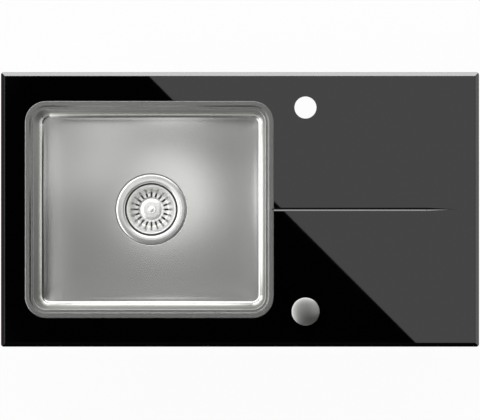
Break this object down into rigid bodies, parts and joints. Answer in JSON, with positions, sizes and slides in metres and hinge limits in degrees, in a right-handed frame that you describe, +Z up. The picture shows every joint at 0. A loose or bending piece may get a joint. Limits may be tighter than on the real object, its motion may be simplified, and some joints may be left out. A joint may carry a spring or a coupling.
{
  "type": "glass kitchen sink",
  "caption": "Inset kitchen sink: bevelled black glass deck with tap hole and drain groove, a pressed steel bowl, and a basket waste opened by a push button.",
  "frame": {"origin": "centre of the deck's outline, on the worktop surface that the gasket lies on", "axes": "+X towards the drainer side, +Y towards the back, +Z up"},
  "size_m": [0.78, 0.448, 0.3101],
  "materials": {
    "black_glass": "black gloss glass with ground edges",
    "bowl_steel": "satin brushed stainless steel",
    "strainer_steel": "polished stainless steel",
    "button_satin": "satin brushed metal cap",
    "collar_chrome": "bright plated",
    "carrier_steel": "plain mill-finish steel",
    "clamp_zinc": "zinc plated",
    "black_silicone": "matt silicone",
    "foam_grey": "closed-cell foam",
    "pad_black": "matt bitumen pad",
    "seal_black": "smooth rubber",
    "waste_white": "moulded polypropylene",
    "part_black": "moulded nylon",
    "spring_steel": "spring wire"
  },
  "bodies": {
    "sink": {"glass_deck": "black_glass", "bowl": "bowl_steel", "deck_bond": "black_silicone", "bowl_bond": "black_silicone", "carrier_tray": "carrier_steel", "clip_rails": "carrier_steel", "worktop_gasket": "foam_grey", "clamp_brackets": "clamp_zinc", "clamp_jaws": "clamp_zinc", "clamp_screws": "clamp_zinc", "clamp_nuts": "clamp_zinc", "bowl_pads": "pad_black", "deck_pad": "pad_black", "strainer_cup": "strainer_steel", "strainer_seal": "seal_black", "body_seal": "seal_black", "waste_body": "waste_white", "waste_outlet": "waste_white", "screw_bridge": "waste_white", "centre_screw": "strainer_steel", "shaft_gland": "waste_white", "cable_bracket": "waste_white", "cable_gland": "part_black", "button_spring": "spring_steel", "button_collar": "collar_chrome", "collar_gasket": "seal_black", "button_washer": "seal_black", "button_nut": "waste_white", "cable_box": "waste_white", "box_gland": "part_black"},
    "button": {"button_cap": "button_satin", "button_stem": "part_black"},
    "crank": {"crank_shaft": "part_black", "crank_lever": "waste_white", "lever_screw": "clamp_zinc"},
    "lifter": {"lifter_pin": "strainer_steel"},
    "basket": {"basket_cup": "strainer_steel", "basket_seal": "seal_black", "basket_disc": "strainer_steel", "basket_knob": "strainer_steel", "basket_socket": "part_black"}
  },
  "joints": [
    {"name": "button_push", "type": "slide", "parent": "sink", "child": "button", "axis": [0, 0, -1], "range_m": [0, 0.007], "stiffness_N_per_m": 600, "springref_m": -0.006, "deforming": ["button_spring"]},
    {"name": "crank_turn", "type": "hinge", "parent": "sink", "child": "crank", "pos_m": [-0.12638, 0, -0.23837], "axis": [0, 1, 0], "range_deg": [0, 24.01]},
    {"name": "lifter_rise", "type": "slide", "parent": "sink", "child": "lifter", "axis": [0, 0, 1], "range_m": [0, 0.00915]},
    {"name": "basket_removal", "type": "slide", "parent": "lifter", "child": "basket", "axis": [0, 0, 1], "range_m": [0, 0.25]}
  ],
  "couplings": [
    {"joint": "crank_turn", "follows": "button_push", "rad_per_m": 59.84},
    {"joint": "lifter_rise", "follows": "button_push", "ratio": 1.3069}
  ]
}
